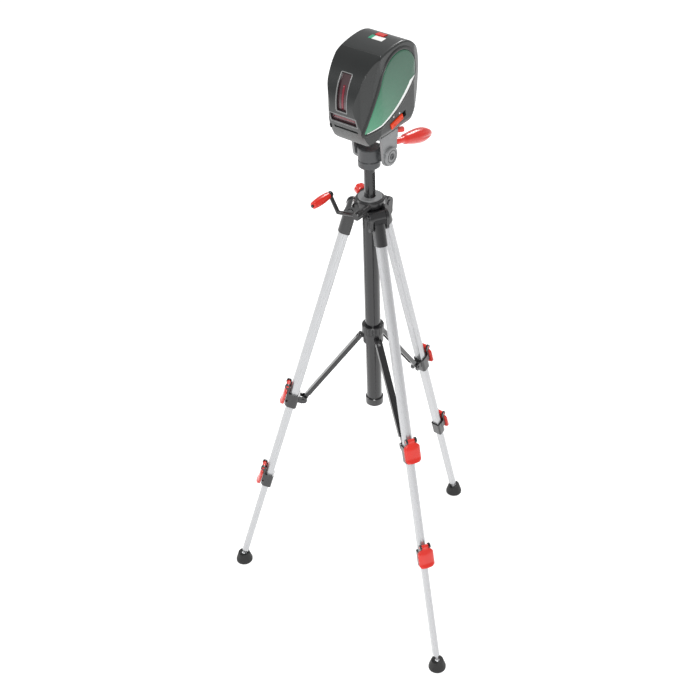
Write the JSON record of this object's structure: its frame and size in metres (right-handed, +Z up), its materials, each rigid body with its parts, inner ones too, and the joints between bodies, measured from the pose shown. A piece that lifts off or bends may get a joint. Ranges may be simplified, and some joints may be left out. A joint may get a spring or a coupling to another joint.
{
  "type": "laser level on tripod",
  "caption": "Self-levelling cross-line laser on a folding tripod with telescopic legs, a geared centre column and a pan and tilt head.",
  "frame": {"origin": "on the floor, at the middle of the footprint of the three feet", "axes": "+Z up; the laser's windows and the crank face -Y; one leg points to +Y"},
  "size_m": [0.431, 0.3768, 0.9642],
  "materials": {
    "black_plastic": "satin moulded",
    "silver_tube": "fine satin anodised",
    "black_tube": "satin black",
    "red_plastic": "semi gloss",
    "rubber_black": "matt",
    "light_grey": "satin light grey",
    "dark_grey": "satin dark grey",
    "pin_steel": "bright",
    "laser_grey": "fine textured",
    "laser_dark": "satin",
    "laser_green": "satin",
    "window_glass": "clear dark",
    "button_dark": "satin",
    "battery_wrap": "gloss wrap",
    "board_green": "solder mask",
    "module_brass": "turned"
  },
  "bodies": {
    "stand": {"crown": "black_plastic", "leg_hinge_pins": "pin_steel", "guide_tube": "black_tube", "tube_end_cap": "black_plastic", "crown_ring": "light_grey"},
    "back_upper_leg": {"back_leg_cap": "black_plastic", "back_upper_tube": "silver_tube", "back_upper_clamp": "black_plastic"},
    "back_upper_lever": {"back_upper_lever": "red_plastic"},
    "back_middle_leg": {"back_middle_tube": "silver_tube", "back_lower_clamp": "black_plastic"},
    "back_lower_lever": {"back_lower_lever": "red_plastic"},
    "back_lower_leg": {"back_lower_tube": "silver_tube"},
    "back_foot": {"back_foot": "rubber_black"},
    "back_strut": {"back_strut": "black_tube"},
    "left_upper_leg": {"left_leg_cap": "black_plastic", "left_upper_tube": "silver_tube", "left_upper_clamp": "black_plastic"},
    "left_upper_lever": {"left_upper_lever": "red_plastic"},
    "left_middle_leg": {"left_middle_tube": "silver_tube", "left_lower_clamp": "black_plastic"},
    "left_lower_lever": {"left_lower_lever": "red_plastic"},
    "left_lower_leg": {"left_lower_tube": "silver_tube"},
    "left_foot": {"left_foot": "rubber_black"},
    "left_strut": {"left_strut": "black_tube"},
    "right_upper_leg": {"right_leg_cap": "black_plastic", "right_upper_tube": "silver_tube", "right_upper_clamp": "black_plastic"},
    "right_upper_lever": {"right_upper_lever": "red_plastic"},
    "right_middle_leg": {"right_middle_tube": "silver_tube", "right_lower_clamp": "black_plastic"},
    "right_lower_lever": {"right_lower_lever": "red_plastic"},
    "right_lower_leg": {"right_lower_tube": "silver_tube"},
    "right_foot": {"right_foot": "rubber_black"},
    "right_strut": {"right_strut": "black_tube"},
    "brace": {"brace_collar": "black_plastic"},
    "brace_lock_ring": {"brace_lock_ring": "black_plastic"},
    "column": {"centre_column": "black_tube", "pan_base": "dark_grey"},
    "crank": {"crank": "black_tube"},
    "crank_grip": {"crank_grip": "red_plastic"},
    "column_lock_knob": {"column_lock_knob": "red_plastic"},
    "pan": {"pan_body": "dark_grey"},
    "laser": {"tilt_bracket": "light_grey", "tilt_disc": "light_grey", "laser_housing": "laser_grey", "laser_front_cover": "laser_dark", "side_panel_right": "laser_green", "side_panel_left": "laser_green", "vertical_window": "window_glass", "horizontal_window": "window_glass", "batteries": "battery_wrap", "circuit_board": "board_green"},
    "tilt_handle": {"tilt_handle": "red_plastic"},
    "mounting_screw": {"mounting_screw": "red_plastic"},
    "power_button": {"power_button": "button_dark"},
    "lock_switch": {"lock_switch": "red_plastic"},
    "battery_cover": {"battery_cover": "laser_grey"},
    "gimbal_ring": {"gimbal_ring": "module_brass"},
    "laser_pendulum": {"laser_pendulum": "module_brass"}
  },
  "joints": [
    {"name": "back_leg_fold", "type": "hinge", "parent": "stand", "child": "back_upper_leg", "pos_m": [0, -0.03221, 0.72038], "axis": [1, 0, 0], "range_deg": [-12, 0]},
    {"name": "back_middle_slide", "type": "slide", "parent": "back_upper_leg", "child": "back_middle_leg", "axis": [0, -0.2807, 0.9598], "range_m": [-0.11, 0.13]},
    {"name": "back_lower_slide", "type": "slide", "parent": "back_middle_leg", "child": "back_lower_leg", "axis": [0, -0.2807, 0.9598], "range_m": [-0.1, 0.15]},
    {"name": "back_upper_lever_flip", "type": "hinge", "parent": "back_upper_leg", "child": "back_upper_lever", "pos_m": [0, 0.07502, 0.39749], "axis": [1, 0, 0], "range_deg": [0, 110]},
    {"name": "back_lower_lever_flip", "type": "hinge", "parent": "back_middle_leg", "child": "back_lower_lever", "pos_m": [0, 0.12453, 0.22443], "axis": [1, 0, 0], "range_deg": [0, 110]},
    {"name": "back_foot_tilt", "type": "hinge", "parent": "back_lower_leg", "child": "back_foot", "pos_m": [0, 0.17464, 0.013], "axis": [1, 0, 0], "range_deg": [-16, 16]},
    {"name": "back_strut_swing", "type": "hinge", "parent": "brace", "child": "back_strut", "pos_m": [0, -0.03921, 0.49998], "axis": [1, 0, 0], "range_deg": [-29.8, 0]},
    {"name": "left_leg_fold", "type": "hinge", "parent": "stand", "child": "left_upper_leg", "pos_m": [-0.02252, -0.07121, 0.72038], "axis": [-0.5, 0.866, 0], "range_deg": [-12, 0]},
    {"name": "left_middle_slide", "type": "slide", "parent": "left_upper_leg", "child": "left_middle_leg", "axis": [0.2431, 0.1403, 0.9598], "range_m": [-0.11, 0.13]},
    {"name": "left_lower_slide", "type": "slide", "parent": "left_middle_leg", "child": "left_lower_leg", "axis": [0.2431, 0.1403, 0.9598], "range_m": [-0.1, 0.15]},
    {"name": "left_upper_lever_flip", "type": "hinge", "parent": "left_upper_leg", "child": "left_upper_lever", "pos_m": [-0.11538, -0.12483, 0.39749], "axis": [-0.5, 0.866, 0], "range_deg": [0, 110]},
    {"name": "left_lower_lever_flip", "type": "hinge", "parent": "left_middle_leg", "child": "left_lower_lever", "pos_m": [-0.15826, -0.14958, 0.22443], "axis": [-0.5, 0.866, 0], "range_deg": [0, 110]},
    {"name": "left_foot_tilt", "type": "hinge", "parent": "left_lower_leg", "child": "left_foot", "pos_m": [-0.20166, -0.17464, 0.013], "axis": [-0.5, 0.866, 0], "range_deg": [-16, 16]},
    {"name": "left_strut_swing", "type": "hinge", "parent": "brace", "child": "left_strut", "pos_m": [-0.01645, -0.06771, 0.49998], "axis": [-0.5, 0.866, 0], "range_deg": [-29.8, 0]},
    {"name": "right_leg_fold", "type": "hinge", "parent": "stand", "child": "right_upper_leg", "pos_m": [0.02252, -0.07121, 0.72038], "axis": [-0.5, -0.866, 0], "range_deg": [-12, 0]},
    {"name": "right_middle_slide", "type": "slide", "parent": "right_upper_leg", "child": "right_middle_leg", "axis": [-0.2431, 0.1403, 0.9598], "range_m": [-0.11, 0.13]},
    {"name": "right_lower_slide", "type": "slide", "parent": "right_middle_leg", "child": "right_lower_leg", "axis": [-0.2431, 0.1403, 0.9598], "range_m": [-0.1, 0.15]},
    {"name": "right_upper_lever_flip", "type": "hinge", "parent": "right_upper_leg", "child": "right_upper_lever", "pos_m": [0.11538, -0.12483, 0.39749], "axis": [-0.5, -0.866, 0], "range_deg": [0, 110]},
    {"name": "right_lower_lever_flip", "type": "hinge", "parent": "right_middle_leg", "child": "right_lower_lever", "pos_m": [0.15826, -0.14958, 0.22443], "axis": [-0.5, -0.866, 0], "range_deg": [0, 110]},
    {"name": "right_foot_tilt", "type": "hinge", "parent": "right_lower_leg", "child": "right_foot", "pos_m": [0.20166, -0.17464, 0.013], "axis": [-0.5, -0.866, 0], "range_deg": [-16, 16]},
    {"name": "right_strut_swing", "type": "hinge", "parent": "brace", "child": "right_strut", "pos_m": [0.01645, -0.06771, 0.49998], "axis": [-0.5, -0.866, 0], "range_deg": [-29.8, 0]},
    {"name": "brace_slide", "type": "slide", "parent": "stand", "child": "brace", "axis": [0, 0, 1], "range_m": [0, 0.0208]},
    {"name": "lock_ring_turn", "type": "hinge", "parent": "brace", "child": "brace_lock_ring", "pos_m": [0, -0.05821, 0.49998], "axis": [0, 0, 1], "range_deg": [0, 60]},
    {"name": "column_lift", "type": "slide", "parent": "stand", "child": "column", "axis": [0, 0, 1], "range_m": [-0.03, 0.22]},
    {"name": "crank_turn", "type": "hinge", "parent": "stand", "child": "crank", "pos_m": [0.01, -0.05821, 0.73188], "axis": [0, 1, 0], "range_deg": [-430, 3152]},
    {"name": "crank_grip_spin", "type": "hinge", "parent": "crank", "child": "crank_grip", "pos_m": [-0.037, -0.10421, 0.74888], "axis": [0, -1, 0], "continuous": true},
    {"name": "column_lock_turn", "type": "hinge", "parent": "stand", "child": "column_lock_knob", "pos_m": [-0.02208, -0.04546, 0.73188], "axis": [-0.866, 0.5, 0], "range_deg": [0, 270]},
    {"name": "pan_turn", "type": "hinge", "parent": "column", "child": "pan", "pos_m": [0, -0.05821, 0.79698], "axis": [0, 0, 1], "continuous": true},
    {"name": "tilt", "type": "hinge", "parent": "pan", "child": "laser", "pos_m": [0, -0.04621, 0.80398], "axis": [-1, 0, 0], "range_deg": [-30, 30]},
    {"name": "handle_turn", "type": "hinge", "parent": "laser", "child": "tilt_handle", "pos_m": [0.017, -0.02521, 0.81298], "axis": [0, 0.9659, -0.2588], "range_deg": [0, 180]},
    {"name": "mounting_lever_turn", "type": "hinge", "parent": "laser", "child": "mounting_screw", "pos_m": [0, -0.04621, 0.83298], "axis": [0, 0, 1], "range_deg": [0, 78]},
    {"name": "power_button_press", "type": "slide", "parent": "laser", "child": "power_button", "axis": [0, 0, -1], "range_m": [0, 0.001], "stiffness_N_per_m": 600},
    {"name": "lock_switch_slide", "type": "slide", "parent": "laser", "child": "lock_switch", "axis": [0, 0.9781, 0.2079], "range_m": [0, 0.008]},
    {"name": "battery_cover_open", "type": "hinge", "parent": "laser", "child": "battery_cover", "pos_m": [0, 0.00399, 0.85798], "axis": [-1, 0, 0], "range_deg": [0, 100]},
    {"name": "gimbal_pitch", "type": "hinge", "parent": "laser", "child": "gimbal_ring", "pos_m": [0, -0.04421, 0.93598], "axis": [1, 0, 0], "range_deg": [-4, 4]},
    {"name": "gimbal_roll", "type": "hinge", "parent": "gimbal_ring", "child": "laser_pendulum", "pos_m": [0, -0.04421, 0.93598], "axis": [0, 1, 0], "range_deg": [-4, 4]}
  ],
  "couplings": [
    {"joint": "back_strut_swing", "follows": "back_leg_fold", "ratio": 2.44},
    {"joint": "left_leg_fold", "follows": "back_leg_fold", "ratio": 1},
    {"joint": "left_strut_swing", "follows": "back_leg_fold", "ratio": 2.44},
    {"joint": "right_leg_fold", "follows": "back_leg_fold", "ratio": 1},
    {"joint": "right_strut_swing", "follows": "back_leg_fold", "ratio": 2.44},
    {"joint": "brace_slide", "follows": "back_leg_fold", "m_per_rad": -0.097976},
    {"joint": "crank_turn", "follows": "column_lift", "rad_per_m": 250}
  ]
}
